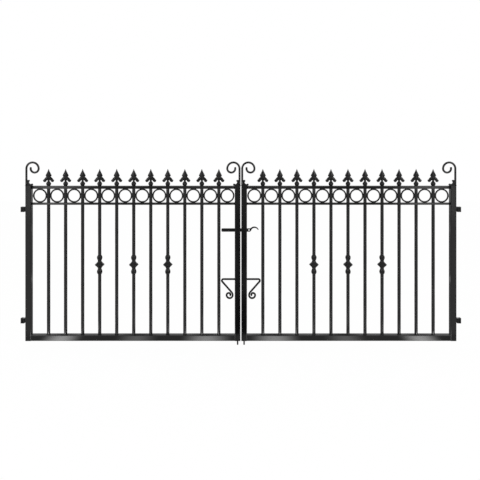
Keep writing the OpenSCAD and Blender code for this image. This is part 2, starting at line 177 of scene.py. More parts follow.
# flags: cards on the floor that only the gloss of the paint sees, corners along x and y
flagSet = [
    dict(name="rearFlag", glow=0.25, lift=0.003,
         corners=[(-6.0, 0.12), (9.1, 0.12), (9.1, 6.5), (-6.0, 6.5)]),
    dict(name="middleFlag", glow=0.0, lift=0.003,
         corners=[(1.49, -0.03), (1.61, -0.03), (1.9, -12.0), (1.2, -12.0)]),
    dict(name="leftPatch", glow=0.9, lift=0.005,
         corners=[(0.62, 1.5), (0.8, 1.5), (0.8, 1.68), (0.62, 1.68)]),
    dict(name="rightPatch", glow=0.9, lift=0.005,
         corners=[(2.3, 1.5), (2.48, 1.5), (2.48, 1.68), (2.3, 1.68)]),
    dict(name="leftFarPatch", glow=0.6, lift=0.005,
         corners=[(1.6, 3.85), (1.84, 3.85), (1.84, 4.4), (1.6, 4.4)]),
    dict(name="rightFarPatch", glow=0.6, lift=0.005,
         corners=[(1.26, 3.85), (1.5, 3.85), (1.5, 4.4), (1.26, 4.4)]),
]

# rows of boxes for the gloss of the bottom rails, bright ones on the floor in front and dark ones
# standing behind, and a row by the camera for the gloss of the upper rails
# boxes: distance from the middle of the gate, half width and glow, the same on both sides
rowSet = [
    dict(name="frontRow", y=(-0.245, -0.09), z=(0.004, 0.004), reach=2.0, strength=12.0, between=0.06,
         boxes=[(0.25, 0.2, 0.75), (0.763, 0.17, 0.31), (1.313, 0.16, 0.95)]),
    dict(name="rearRow", y=(2.0, 2.0), z=(0.7, 1.06), reach=2.93, strength=1.1, between=0.65,
         boxes=[(0.367, 0.27, 0.02), (1.125, 0.25, 0.1), (1.935, 0.2, 0.14)]),
    dict(name="upperRow", y=(-3.2, -3.2), z=(0.45, 0.82), reach=3.0, strength=4.5, between=0.06,
         boxes=[(0.5, 0.35, 0.25), (2.45, 0.5, 1.0)]),
]


def makeCard(name, corners, strength):
    card, tree = stageFace(name, corners)
    out = tree.nodes.new("ShaderNodeOutputMaterial")
    glow = tree.nodes.new("ShaderNodeEmission")
    glow.inputs["Strength"].default_value = strength
    tree.links.new(glow.outputs[0], out.inputs[0])
    for ray in ("camera", "diffuse", "shadow", "transmission", "volume_scatter"):
        setattr(card, "visible_" + ray, False)
    return tree, glow


def makeFlags():
    for s in flagSet:
        makeCard(s["name"], [(x, y, s["lift"]) for x, y in s["corners"]], s["glow"])


def makeRows():
    for s in rowSet:
        reach, between = s["reach"], s["between"]
        left, right = cameraSet["x"] - reach, cameraSet["x"] + reach
        (nearY, farY), (nearZ, farZ) = s["y"], s["z"]
        corners = [(left, nearY, nearZ), (right, nearY, nearZ), (right, farY, farZ), (left, farY, farZ)]
        tree, glow = makeCard(s["name"], corners, s["strength"])
        coord = tree.nodes.new("ShaderNodeTexCoord")
        split = tree.nodes.new("ShaderNodeSeparateXYZ")
        ramp = tree.nodes.new("ShaderNodeValToRGB")
        ramp.color_ramp.interpolation = "EASE"
        tree.links.new(coord.outputs["Generated"], split.inputs[0])
        tree.links.new(split.outputs["X"], ramp.inputs["Fac"])
        tree.links.new(ramp.outputs["Color"], glow.inputs["Color"])
        places = []
        for at, half, value in s["boxes"]:
            for x in (-at, at):
                places += [(x - half, between), (x, value), (x + half, between)]
        places = sorted((0.5 + x / (2 * reach), value) for x, value in places)
        stops = ramp.color_ramp.elements
        stops[0].position, stops[1].position = places[0][0], places[-1][0]
        for place, value in places[1:-1]:
            stops.new(place)
        for stop, (place, value) in zip(stops, places):
            stop.color = grey(value)


makeFlags()
makeRows()

# lamps: a softbox on each side of the camera
lampSet = [
    dict(name="leftSoftbox", at=(-1.6, -3.0, 2.4), to=(1.0, 0.0, 0.4), size=2.0, power=60.0),
    dict(name="rightSoftbox", at=(4.7, -3.0, 2.4), to=(2.1, 0.0, 0.4), size=2.0, power=60.0),
]


def makeLamps():
    for s in lampSet:
        data = bpy.data.lights.new(s["name"], "AREA")
        data.shape = "SQUARE"
        data.size = s["size"]
        data.energy = s["power"]
        lamp = bpy.data.objects.new(s["name"], data)
        lamp.location = s["at"]
        aim = Vector(s["to"]) - Vector(s["at"])
        lamp.rotation_euler = aim.to_track_quat("-Z", "Y").to_euler()
        lamp.visible_camera = False
        scene.collection.objects.link(lamp)


makeLamps()
scene.view_settings.view_transform = "Standard"
print("studio set")

# paints: near-black gloss with a faint orange peel and slow changes of gloss, bare steel and plastic
paintSet = dict(
    painted_frame=dict(dark=0.003, pale=0.005, gloss=(0.1, 0.18), peel=0.006, depth=0.012, ior=1.37),
    painted_bars=dict(dark=0.003, pale=0.006, gloss=(0.16, 0.26), peel=0.006, depth=0.012, ior=1.37),
    painted_castings=dict(dark=0.003, pale=0.006, gloss=(0.2, 0.32), peel=0.002, depth=0.08, ior=1.28),
    painted_hardware=dict(dark=0.003, pale=0.006, gloss=(0.2, 0.3), peel=0.002, depth=0.06, ior=1.3),
    pin_steel=dict(dark=0.32, pale=0.5, gloss=(0.25, 0.4), peel=0.001, depth=0.1, ior=1.45, metal=1.0),
    plug_plastic=dict(dark=0.012, pale=0.02, gloss=(0.45, 0.6), peel=0.0008, depth=0.2, ior=1.45),
)
# noise that they share: tone and gloss change between its low and its high mark
noiseSet = dict(
    scale=4.0, detail=3.0, peelDetail=2.0, low=0.3, high=0.7, bump=0.3, tint=(1.0, 1.0, 1.04),
)


def gateMaterial(name, s):
    mat = bpy.data.materials.new(name)
    mat.use_nodes = True
    tree = mat.node_tree
    bsdf = tree.nodes["Principled BSDF"]
    bsdf.inputs["Metallic"].default_value = s.get("metal", 0.0)
    bsdf.inputs["IOR"].default_value = s["ior"]
    coord = tree.nodes.new("ShaderNodeTexCoord")
    slow = tree.nodes.new("ShaderNodeTexNoise")
    slow.inputs["Scale"].default_value = noiseSet["scale"]
    slow.inputs["Detail"].default_value = noiseSet["detail"]
    fine = tree.nodes.new("ShaderNodeTexNoise")
    fine.inputs["Scale"].default_value = 1.0 / s["peel"]
    fine.inputs["Detail"].default_value = noiseSet["peelDetail"]
    tree.links.new(coord.outputs["Object"], slow.inputs["Vector"])
    tree.links.new(coord.outputs["Object"], fine.inputs["Vector"])
    ramp = tree.nodes.new("ShaderNodeValToRGB")
    for stop, place, tone in zip(ramp.color_ramp.elements, ("low", "high"), ("dark", "pale")):
        stop.position = noiseSet[place]
        stop.color = [s[tone] * t for t in noiseSet["tint"]] + [1.0]
    tree.links.new(slow.outputs["Fac"], ramp.inputs["Fac"])
    tree.links.new(ramp.outputs["Color"], bsdf.inputs["Base Color"])
    gloss = tree.nodes.new("ShaderNodeMapRange")
    gloss.inputs["From Min"].default_value = noiseSet["low"]
    gloss.inputs["From Max"].default_value = noiseSet["high"]
    gloss.inputs["To Min"].default_value = s["gloss"][0]
    gloss.inputs["To Max"].default_value = s["gloss"][1]
    tree.links.new(slow.outputs["Fac"], gloss.inputs["Value"])
    tree.links.new(gloss.outputs[0], bsdf.inputs["Roughness"])
    bump = tree.nodes.new("ShaderNodeBump")
    bump.inputs["Strength"].default_value = s["depth"]
    bump.inputs["Distance"].default_value = s["peel"] * noiseSet["bump"]
    tree.links.new(fine.outputs["Fac"], bump.inputs["Height"])
    tree.links.new(bump.outputs[0], bsdf.inputs["Normal"])
    return mat


materials = {name: gateMaterial(name, s) for name, s in paintSet.items()}
slotOf = {part["node"]: part["material_slot"] for part in frame["record"]["subparts"]}
for name, node in nodes.items():
    node.data.materials.clear()
    node.data.materials.append(materials[slotOf[name]])
print("paint on", len(slotOf), "nodes")

barCount = 11  # in each leaf


def barRow(side):
    # places of the bars along x, and their radius
    low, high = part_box(side + "_bars")
    thick = high[1] - low[1]
    first = low[0] + thick / 2
    pitch = (high[0] - low[0] - thick) / (barCount - 1)
    return [first + i * pitch for i in range(barCount)], thick / 2


def faceOut(mesh):
    # all faces look outwards
    build = bmesh.new()
    build.from_mesh(mesh)
    bmesh.ops.recalc_face_normals(build, faces=build.faces)
    build.to_mesh(mesh)
    build.free()


def keepMesh(name, verts, faces, body, slot, smooth=True):
    mesh = bpy.data.meshes.new(name)
    mesh.from_pydata(verts, [], faces)
    mesh.validate()
    faceOut(mesh)
    if smooth:
        mesh.polygons.foreach_set("use_smooth", [True] * len(mesh.polygons))
    piece = bpy.data.objects.new(name, mesh)
    scene.collection.objects.link(piece)
    mesh.materials.append(materials[slot])
    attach(piece, body)
    return piece


def addShape(store, verts, faces, at=(0.0, 0.0, 0.0)):
    start = len(store[0])
    store[0].extend((v[0] + at[0], v[1] + at[1], v[2] + at[2]) for v in verts)
    store[1].extend(tuple(i + start for i in face) for face in faces)


def fullTurn(steps):
    return [2 * math.pi * i / steps for i in range(steps)]


def arcPoints(cx, cz, r, degrees):
    return [(cx + r * math.cos(math.radians(a)), cz + r * math.sin(math.radians(a))) for a in degrees]


def gridFaces(rows, columns, closedRows=False):
    # each row is a closed loop
    faces = []
    for r in range(rows if closedRows else rows - 1):
        for c in range(columns):
            r2, c2 = (r + 1) % rows, (c + 1) % columns
            faces.append((r * columns + c, r * columns + c2, r2 * columns + c2, r2 * columns + c))
    return faces


def tubeFaces(rows, columns):
    # with a cap at each end
    caps = [tuple(reversed(range(columns))), tuple(range((rows - 1) * columns, rows * columns))]
    return gridFaces(rows, columns) + caps


def prism(line, near, far):
    # an outline in x and z, drawn out along y
    count = len(line)
    verts = [(p, near, q) for p, q in line] + [(p, far, q) for p, q in line]
    faces = [tuple(range(count)), tuple(reversed(range(count, 2 * count)))]
    faces += [(i, count + i, count + (i + 1) % count, (i + 1) % count) for i in range(count)]
    return verts, faces


def turned(outline, steps):
    # outline: closed loop of radius and height
    verts = [(r * math.cos(a), r * math.sin(a), z) for r, z in outline for a in fullTurn(steps)]
    return verts, gridFaces(len(outline), steps, closedRows=True)


def smoothLine(points, per):
    # a curve through the points
    line = []
    last = len(points) - 1
    for i in range(last):
        p0, p1 = points[max(i - 1, 0)], points[i]
        p2, p3 = points[i + 1], points[min(i + 2, last)]
        for k in range(per):
            t = k / per
            line.append(tuple(
                0.5 * (2 * b + (c - a) * t + (2 * a - 5 * b + 4 * c - d) * t * t
                       + (3 * b - a - 3 * c + d) * t ** 3)
                for a, b, c, d in zip(p0, p1, p2, p3)))
    line.append(points[-1])
    return line


# spearheads: cast in one, with a bud, two drooping leaves and a hollow-ground blade, in mm above the rail
# stem: radius and height, blade: height and half width, leaves: upper and lower edge
spearSet = dict(
    stem=[(10.4, 0.0), (11.2, 1.2), (12.6, 3.5), (15.2, 9.0), (16.8, 14.5), (17.0, 18.0),
          (15.6, 23.0), (12.4, 27.5), (9.0, 31.0), (7.6, 34.0), (7.4, 40.0), (8.0, 48.0),
          (10.0, 55.0), (11.2, 60.0), (10.0, 64.0), (7.0, 70.0)],
    stemPer=3, stemSteps=32,
    blade=[(56.0, 8.0), (61.0, 11.8), (65.0, 15.6), (69.0, 19.4), (72.0, 21.3), (75.0, 21.6),
           (78.0, 20.8), (81.0, 19.4), (88.0, 15.8), (95.0, 12.2), (103.0, 8.1), (110.0, 5.0),
           (116.0, 2.9), (121.2, 1.5)],
    bladeSteps=32, bladeThick=7.0, bladeTaper=0.85, bladeHollow=1.15,
    bladeEdge=1.3, tipEdge=0.6, edgeRise=2.5,
    leafTop=[(0.0, 67.5), (10.8, 66.8), (19.0, 63.6), (25.4, 58.4), (29.9, 52.4), (33.0, 47.4),
             (36.0, 44.8), (40.4, 43.0)],
    leafFoot=[(0.0, 44.0), (5.4, 43.6), (9.8, 41.2), (12.8, 37.8), (15.4, 34.0), (18.6, 30.4),
              (24.2, 27.6), (34.4, 28.2)],
    leafPer=4, leafAcross=12, leafThick=4.6, leafThin=0.35, leafEdge=1.7, rib=0.9, ribNarrow=5,
    voxel=1.0, smooth=0.5, smoothRounds=2, triangles=7000,
)


def bladeShape():
    s = spearSet
    widest = max(half for z, half in s["blade"])
    verts = []
    for z, half in s["blade"]:
        edge = min(s["bladeEdge"], half * s["tipEdge"])
        thick = max(edge, s["bladeThick"] * (half / widest) ** s["bladeTaper"])
        for a in fullTurn(s["bladeSteps"]):
            cx, cy = math.cos(a), math.sin(a)
            side = abs(cx) / (abs(cx) + abs(cy))
            rise = min(1.0, s["edgeRise"] * abs(cy))
            deep = rise * (edge + (thick - edge) * (1 - side) ** s["bladeHollow"])
            verts.append((half * math.copysign(side, cx), math.copysign(deep, cy), z))
    return verts, tubeFaces(len(s["blade"]), s["bladeSteps"])


def leafShape(side):
    s = spearSet
    top = smoothLine(s["leafTop"], s["leafPer"])
    foot = smoothLine(s["leafFoot"], s["leafPer"])
    across = s["leafAcross"]
    loop = [(i / across, 1) for i in range(across + 1)]
    loop += [(i / across, -1) for i in range(across - 1, 0, -1)]
    verts = []
    for j, (up, down) in enumerate(zip(top, foot)):
        along = j / (len(top) - 1)
        thick = s["leafThick"] * (1 - s["leafThin"] * along)
        for v, face in loop:
            edge = abs(2 * v - 1)
            depth = s["leafEdge"] + (thick - s["leafEdge"]) * (1 - edge * edge)
            depth += s["rib"] * max(0.0, 1 - edge * s["ribNarrow"])
            if edge == 1:
                depth = 0.0
            x = down[0] + (up[0] - down[0]) * v
            z = down[1] + (up[1] - down[1]) * v
            verts.append((side * x, face * depth, z))
    return verts, tubeFaces(len(top), len(loop))


def stemShape():
    steps = spearSet["stemSteps"]
    line = smoothLine(spearSet["stem"], spearSet["stemPer"])
    verts = [(r * math.cos(a), r * math.sin(a), z) for r, z in line for a in fullTurn(steps)]
    return verts, tubeFaces(len(line), steps)


def castSpearhead():
    # the shells are fused by a fine remesh, which also rounds the edges as a casting does
    store = ([], [])
    for verts, faces in (bladeShape(), leafShape(1), leafShape(-1), stemShape()):
        addShape(store, verts, faces)
    mesh = bpy.data.meshes.new("spearCast")
    mesh.from_pydata([(x * mm, y * mm, z * mm) for x, y, z in store[0]], [], store[1])
    faceOut(mesh)
    cast = bpy.data.objects.new("spearCast", mesh)
    scene.collection.objects.link(cast)
    fuse = cast.modifiers.new("fuse", "REMESH")
    fuse.mode = "VOXEL"
    fuse.voxel_size = spearSet["voxel"] * mm
    ease = cast.modifiers.new("ease", "SMOOTH")
    ease.factor = spearSet["smooth"]
    ease.iterations = spearSet["smoothRounds"]
    fewer = cast.modifiers.new("fewer", "DECIMATE")
    bpy.context.view_layer.update()
    quads = len(cast.evaluated_get(bpy.context.evaluated_depsgraph_get()).data.polygons)
    fewer.ratio = min(1.0, spearSet["triangles"] / (2 * quads))
    bpy.context.view_layer.update()
    done = cast.evaluated_get(bpy.context.evaluated_depsgraph_get()).to_mesh()
    verts = [tuple(v.co) for v in done.vertices]
    faces = [tuple(p.vertices) for p in done.polygons]
    bpy.data.objects.remove(cast)
    bpy.data.meshes.remove(mesh)
    return verts, faces


def makeSpearheads():
    verts, faces = castSpearhead()
    low = min(v[2] for v in verts)
    high = max(v[2] for v in verts)
    for side in sides:
        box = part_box(side + "_spearheads")
        stretch = (box[1][2] - box[0][2]) / (high - low)
        fitted = [(x, y, (z - low) * stretch) for x, y, z in verts]
        store = ([], [])
        for x in barRow(side)[0]:
            addShape(store, fitted, faces, (x, 0.0, box[0][2]))
        piece = keepMesh(side + "SpearheadRow", *store, side + "_leaf", "painted_castings")
        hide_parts(side + "_spearheads")
    print("spearheads cast:", len(faces), "faces each")


makeSpearheads()

# collars: turned, with a sharp disc between two beads, radius and height in mm from the disc
collarSet = dict(
    half=[(33.4, 0.0), (32.6, 0.9), (27.2, 7.0), (19.6, 14.0), (14.6, 21.0), (12.8, 26.5),
          (13.0, 30.0), (15.0, 35.0), (17.4, 41.5), (18.6, 47.0), (18.7, 50.5), (17.8, 57.0),
          (15.6, 62.5), (12.9, 66.0), (11.6, 66.9)],
    halfHeight=0.067, per=4, steps=48, slack=0.0002, bars=(3, 5, 7),
)


def makeCollars():
    s = collarSet
    half = smoothLine(s["half"], s["per"])
    for side in sides:
        bars, radius = barRow(side)
        low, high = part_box(side + "_collars")
        middle = (low[2] + high[2]) / 2
        reach = (high[2] - low[2]) / 2
        outer = [(r * mm, z * mm * reach / s["halfHeight"]) for r, z in half]
        outline = [(r, -z) for r, z in reversed(outer[1:])] + outer
        bore = radius + s["slack"]
        outline = [(bore, outline[0][1])] + outline + [(bore, outline[-1][1])]
        verts, faces = turned(outline, s["steps"])
        store = ([], [])
        for n in s["bars"]:
            addShape(store, verts, faces, (bars[n], 0.0, middle))
        piece = keepMesh(side + "CollarRow", *store, side + "_leaf", "painted_castings")
        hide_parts(side + "_collars")
    print("collars turned")


makeCollars()

# rings: bent round wire with a butt weld at the foot and a tack where it meets bars and rails
ringSet = dict(
    wire=0.0056, grow=0.0007, around=72, section=14,
    seam=0.1, seamAt=1.5 * math.pi, seamWide=0.09,
    tack=(0.0034, 0.0042, 0.0052), tackRows=7, tackSteps=12,
    tackLumps=(0.12, 0.08), tackRipples=(3, 5), tackPhase=1.3,
)


def ringShape(radius):
    s = ringSet
    verts = []
    for a in fullTurn(s["around"]):
        near = math.exp(-((a - s["seamAt"]) / s["seamWide"]) ** 2)
        wire = s["wire"] * (1 + s["seam"] * near)
        for b in fullTurn(s["section"]):
            r = radius + wire * math.cos(b)
            verts.append((r * math.cos(a), wire * math.sin(b), r * math.sin(a)))
    return verts, gridFaces(s["around"], s["section"], closedRows=True)


def tackShape(turn, phase):
    # a flattened lump of weld, long across the joint
    wide, deep, tall = ringSet["tack"]
    rows, steps = ringSet["tackRows"], ringSet["tackSteps"]
    lumpRound, lumpAcross = ringSet["tackLumps"]
    rateRound, rateAcross = ringSet["tackRipples"]
    verts = []
    for j in range(1, rows):
        b = math.pi * j / rows
        for a in fullTurn(steps):
            lump = 1 + lumpRound * math.sin(rateRound * a + phase)
            lump += lumpAcross * math.sin(rateAcross * b + 2 * phase)
            x = wide * math.sin(b) * math.cos(a) * lump
            y = deep * math.cos(b)
            z = tall * math.sin(b) * math.sin(a) * lump
            verts.append((x * math.cos(turn) - z * math.sin(turn), y,
                          x * math.sin(turn) + z * math.cos(turn)))
    return verts, tubeFaces(rows - 1, steps)


def makeRings():
    for side in sides:
        bars = barRow(side)[0]
        low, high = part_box(side + "_rings")
        middle = (low[2] + high[2]) / 2
        outer = (high[2] - low[2]) / 2 + ringSet["grow"]
        radius = outer - ringSet["wire"]
        pitch = bars[1] - bars[0]
        store = ([], [])
        tacks = ([], [])
        for n in range(len(bars) + 1):
            x = bars[0] + (n - 0.5) * pitch
            addShape(store, *ringShape(radius), (x, 0.0, middle))
            for m in range(4):  # right, head, left and foot of the ring
                if (n == 0 and m == 2) or (n == len(bars) and m == 0):
                    continue  # the end rings stay clear of the stiles
                a = m * math.pi / 2
                at = (x + outer * math.cos(a), 0.0, middle + outer * math.sin(a))
                addShape(tacks, *tackShape(a, n + ringSet["tackPhase"] * m), at)
        piece = keepMesh(side + "RingRow", *store, side + "_leaf", "painted_bars")
        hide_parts(side + "_rings")
        keepMesh(side + "RingTacks", *tacks, side + "_leaf", "painted_bars")
    print("rings bent")


makeRings()

edgeSet = dict(segments=3, sharp=50.0)  # for edges that are rounded by a bevel


def roundEdges(verts, faces, width, cutter=None):
    mesh = bpy.data.meshes.new("roundEdges")
    mesh.from_pydata(verts, [], faces)
    faceOut(mesh)
    work = bpy.data.objects.new("roundEdges", mesh)
    scene.collection.objects.link(work)
    soften = work.modifiers.new("soften", "BEVEL")
    soften.width = width
    soften.segments = edgeSet["segments"]
    soften.limit_method = "ANGLE"
    soften.angle_limit = math.radians(edgeSet["sharp"])
    if cutter:
        drill = bpy.data.meshes.new("drill")
        drill.from_pydata(cutter[0], [], cutter[1])
        tool = bpy.data.objects.new("drill", drill)
        scene.collection.objects.link(tool)
        cut = work.modifiers.new("cut", "BOOLEAN")
        cut.operation = "DIFFERENCE"
        cut.object = tool
    bpy.context.view_layer.update()
    done = work.evaluated_get(bpy.context.evaluated_depsgraph_get()).to_mesh()
    result = [tuple(v.co) for v in done.vertices], [tuple(p.vertices) for p in done.polygons]
    bpy.data.objects.remove(work)
    bpy.data.meshes.remove(mesh)
    if cutter:
        bpy.data.objects.remove(tool)
        bpy.data.meshes.remove(drill)
    return result


# coves: small cast corner brackets with a bead at each end, in mm from the corner, edge in metres
# arcs: start, stop and step in degrees
coveSet = dict(
    reach=38.85, toe=4.0, leg=10.4, hollow=15.0, endBead=7.2, topBead=6.4, topIn=0.8, edge=0.0012,
    endArc=(-60, 165, 15), hollowArc=(270, 175, -10), topArc=(-75, 91, 15),
)


def coveOutline(tall):
    s = coveSet
    middle = s["leg"] + s["hollow"]
    line = [(0.0, 0.0), (s["reach"] - s["toe"], 0.0)]
    line += arcPoints(s["reach"] - s["endBead"], s["endBead"], s["endBead"], range(*s["endArc"]))
    line += arcPoints(middle, middle, s["hollow"], range(*s["hollowArc"]))
    line += arcPoints(s["leg"] - s["topIn"], tall - s["topBead"], s["topBead"], range(*s["topArc"]))
    line.append((0.0, tall))
    return line


def makeCoves():
    for side in sides:
        low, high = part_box(side + "_coves")
        line = coveOutline((high[2] - low[2]) / mm)
        store = ([], [])
        for x, way in ((low[0], 1), (high[0], -1)):
            shape = prism([(way * p * mm, q * mm) for p, q in line], low[1], high[1])
            addShape(store, *roundEdges(*shape, coveSet["edge"]), (x, 0.0, low[2]))
        piece = keepMesh(side + "CovePair", *store, side + "_leaf", "painted_castings", smooth=False)
        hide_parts(side + "_coves")
    print("coves cast")


makeCoves()


def planarPath(start, steps, arcStep=6.0):
    # upwards from the start: each step is a straight run, then a bend of some radius and turn in degrees
    x, z = start
    heading = 0.0
    points = [(x, z, heading)]
    for run, radius, turn in steps:
        if run:
            x += run * math.sin(heading)
            z += run * math.cos(heading)
            points.append((x, z, heading))
        count = max(2, int(abs(turn) / arcStep))
        side = math.copysign(1.0, turn)
        cx = x + side * radius * math.cos(heading)
        cz = z - side * radius * math.sin(heading)
        for i in range(1, count + 1):
            a = heading + math.radians(turn) * i / count
            points.append((cx - side * radius * math.cos(a), cz + side * radius * math.sin(a), a))
        x, z, heading = points[-1]
    return points


easeAngles = [math.radians(a) for a in (30, 60, 90)]  # round the end of a bar


def sweptBar(points, radii, y, ease=0.3, steps=20):
    # round bar along a path, its ends eased by a share of the radius
    rings = [(x, z, a, r) for (x, z, a), r in zip(points, radii)]
    ends = []
    for (x, z, a, r), way in ((rings[0], -1), (rings[-1], 1)):
        extra = []
        for b in easeAngles:
            out = way * ease * r * math.sin(b)
            drawnIn = r * (1 - ease) + ease * r * math.cos(b)
            extra.append((x + out * math.sin(a), z + out * math.cos(a), a, drawnIn))
        ends.append(extra)
    rings = list(reversed(ends[0])) + rings + ends[1]
    verts = []
    for x, z, a, r in rings:
        for b in fullTurn(steps):
            across = r * math.cos(b)
            verts.append((x + across * math.cos(a), y + r * math.sin(b), z - across * math.sin(a)))
    return verts, tubeFaces(len(rings), steps)


# scrolls: bent bar with an eased end, half a turn and then a tighter bend a little past half a turn
scrollSet = dict(outerTurn=180.0, inner=0.028, innerTurn=196.0, grow=1.1)


def scrollWay(side, end):
    # 1 curls to the right, -1 to the left, both towards the middle of the leaf
    return 1 if (side == "left") == (end == "hinge") else -1


def scrollStand(side, end):
    # box, thickness and x of the upright
    low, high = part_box(side + "_" + end + "_scroll")
    thick = high[1] - low[1]
    x = low[0] + thick / 2 if scrollWay(side, end) > 0 else high[0] - thick / 2
    return low, high, thick, x


def makeScrolls():
    s = scrollSet
    for side in sides:
        for end in ("hinge", "meeting"):
            low, high, thick, x = scrollStand(side, end)
            way = scrollWay(side, end)
            outer = (high[0] - low[0] - thick) / 2
            rise = high[2] - low[2] - outer - thick / 2
            bends = [(rise, outer, way * s["outerTurn"]), (0.0, s["inner"], way * s["innerTurn"])]
            points = planarPath((x, low[2]), bends)
            radii = [thick / 2 * s["grow"]] * len(points)
            verts, faces = sweptBar(points, radii, (low[1] + high[1]) / 2)
            verts = [(vx, vy, max(vz, low[2])) for vx, vy, vz in verts]
            name = side + end.capitalize() + "Scroll"
            piece = keepMesh(name, verts, faces, side + "_leaf", "painted_bars")
            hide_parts(side + "_" + end + "_scroll")
    print("scrolls bent")


makeScrolls()

# drop bolts: turned tip, rod, arm and sloping handle that ends in a closed curl
# bends: straight run, then radius and turn in degrees
boltSet = dict(
    rod=0.006, handle=0.0067, swell=0.00012, swellFrom=5,
    tip=0.04, tipIn=0.0005, tipHeights=(0.0016, 0.01, 0.038),
    bends=[(0.414, 0.012, 90.0), (0.0895, 0.0105, 131.2194), (0.1, 0.03225, -41.2194),
           (0.0, 0.0215, -180.0), (0.0, 0.015, -110.0), (0.0, 0.0105, -110.0)],
)


def makeBolts():
    s = boltSet
    rod = s["rod"]
    for side, way in (("left", -1), ("right", 1)):
        node = side + "_drop_bolt"
        low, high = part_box(node)
        x = high[0] - rod if way < 0 else low[0] + rod
        bends = [(run, radius, way * turn) for run, radius, turn in s["bends"]]
        points = planarPath((x, low[2] + s["tip"]), bends)
        radii = [min(s["handle"], rod + s["swell"] * max(0, i - s["swellFrom"])) for i in range(len(points))]
        tip = [(x, low[2] + z, 0.0) for z in s["tipHeights"]]
        tipRadii = [rod - s["tipIn"]] * len(tip)
        verts, faces = sweptBar(tip + points, tipRadii + radii, (low[1] + high[1]) / 2)
        piece = keepMesh(side + "BoltRod", verts, faces, side + "_bolt", "painted_hardware")
        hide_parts(node)
    print("drop bolts bent")


makeBolts()

# latch: flat bar with eased edges, a padlock hole and a curved handle, in mm from the middle of the gate,
# angles in degrees on the handle, drillPast and edge in metres
latchSet = dict(
    reach=138.0, tail=68.0, half=12.0, end=6.0, endStep=15, under=5.3, topIn=0.8,
    handle=30.0, dip=20.0, root=13.0, rootAngle=170, topAngle=140, angleStep=7,
    tip=7.4, tipAngle=30, tipSweep=150, tipStep=30,
    hole=5.0, holeX=58.0, holeSteps=32, drillPast=0.01, edge=0.0011,
)


def latchOutline():
    s = latchSet
    half, end = s["half"], s["end"]
    cx = s["tail"] + s["handle"] * math.cos(math.radians(s["dip"]))
    cz = -s["handle"] * math.sin(math.radians(s["dip"]))

    def onHandle(angle, way):
        share = (angle - s["tipAngle"]) / (s["rootAngle"] - s["tipAngle"])
        r = s["handle"] + way * (s["tip"] + (s["root"] - s["tip"]) * share) / 2
        return arcPoints(cx, cz, r, [angle])[0]

    line = arcPoints(end - s["reach"], half - end, end, range(90, 181, s["endStep"]))
    line += arcPoints(end - s["reach"], end - half, end, range(180, 271, s["endStep"]))
    line += [(s["tail"], -half), (s["tail"], -s["under"])]
    line += [onHandle(a, -1) for a in range(s["rootAngle"], s["tipAngle"] - 1, -s["angleStep"])]
    tx, tz = onHandle(s["tipAngle"], 0)
    roundTip = range(s["tipAngle"] - s["tipSweep"], s["tipAngle"], s["tipStep"])
    line += arcPoints(tx, tz, s["tip"] / 2, roundTip)
    line += [onHandle(a, 1) for a in range(s["tipAngle"], s["topAngle"], s["angleStep"])]
    line.append((s["tail"] - s["topIn"], half))
    return line


def makeLatch():
    s = latchSet
    low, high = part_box("latch_bar")
    middle = low[0] + s["reach"] * mm
    z = low[2] + s["half"] * mm
    blade = prism([(p * mm, q * mm) for p, q in latchOutline()], low[1], high[1])
    hole = [(s["holeX"] * mm + s["hole"] * mm * math.cos(a), s["hole"] * mm * math.sin(a))
            for a in fullTurn(s["holeSteps"])]
    drill = prism(hole, low[1] - s["drillPast"], high[1] + s["drillPast"])
    verts, faces = roundEdges(*blade, s["edge"], cutter=drill)
    verts = [(p + middle, y, q + z) for p, y, q in verts]
    piece = keepMesh("latchBlade", verts, faces, "latch", "painted_hardware", smooth=False)
    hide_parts("latch_bar")
    print("latch forged")


makeLatch()

# bars: drawn round bar, a little wavy from the straightening rolls
barSet = dict(grow=0.001, wave=0.00012, length=0.31, phase=1.9, rows=40, steps=28, ease=0.05)


def makeBars():
    s = barSet
    rows = s["rows"]
    for side in sides:
        bars, radius = barRow(side)
        low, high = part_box(side + "_bars")
        heights = [low[2] + (high[2] - low[2]) * i / rows for i in range(rows + 1)]
        store = ([], [])
        for n, x in enumerate(bars):
            waves = [math.sin(2 * math.pi * z / s["length"] + s["phase"] * n) for z in heights]
            radii = [radius + s["grow"] + s["wave"] * wave for wave in waves]
            path = [(x, z, 0.0) for z in heights]
            addShape(store, *sweptBar(path, radii, 0.0, ease=s["ease"], steps=s["steps"]))
        piece = keepMesh(side + "BarRow", *store, side + "_leaf", "painted_bars")
        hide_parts(side + "_bars")
    print("bars drawn")


makeBars()

# flat rails: rolled bar with eased arrises, growth at the foot and the head
railSet = dict(
    grow=dict(top_rail=(0.0006, 0.002), ring_rail=(0.0008, 0.0008)),
    arris=0.0018, shoulder=0.0006, arcSteps=4, wave=0.0001, length=0.47, rows=60,
)


def railSection(low, high):
    # rounded corners, with a point on each flat beside them so that the flats shade flat
    r, beside, steps = railSet["arris"], railSet["shoulder"], railSet["arcSteps"]
    corners = [(high[0] - r, low[1] + r, -90), (high[0] - r, high[1] - r, 0),
               (low[0] + r, high[1] - r, 90), (low[0] + r, low[1] + r, 180)]
    loop = []
    for cy, cz, begin in corners:
        arc = [math.radians(begin + 90 * i / steps) for i in range(steps + 1)]
        points = [(cy + r * math.cos(a), cz + r * math.sin(a)) for a in arc]
        first, last = points[0], points[-1]
        loop.append((first[0] + beside * math.sin(arc[0]), first[1] - beside * math.cos(arc[0])))
        loop += points
        loop.append((last[0] - beside * math.sin(arc[-1]), last[1] + beside * math.cos(arc[-1])))
    return loop


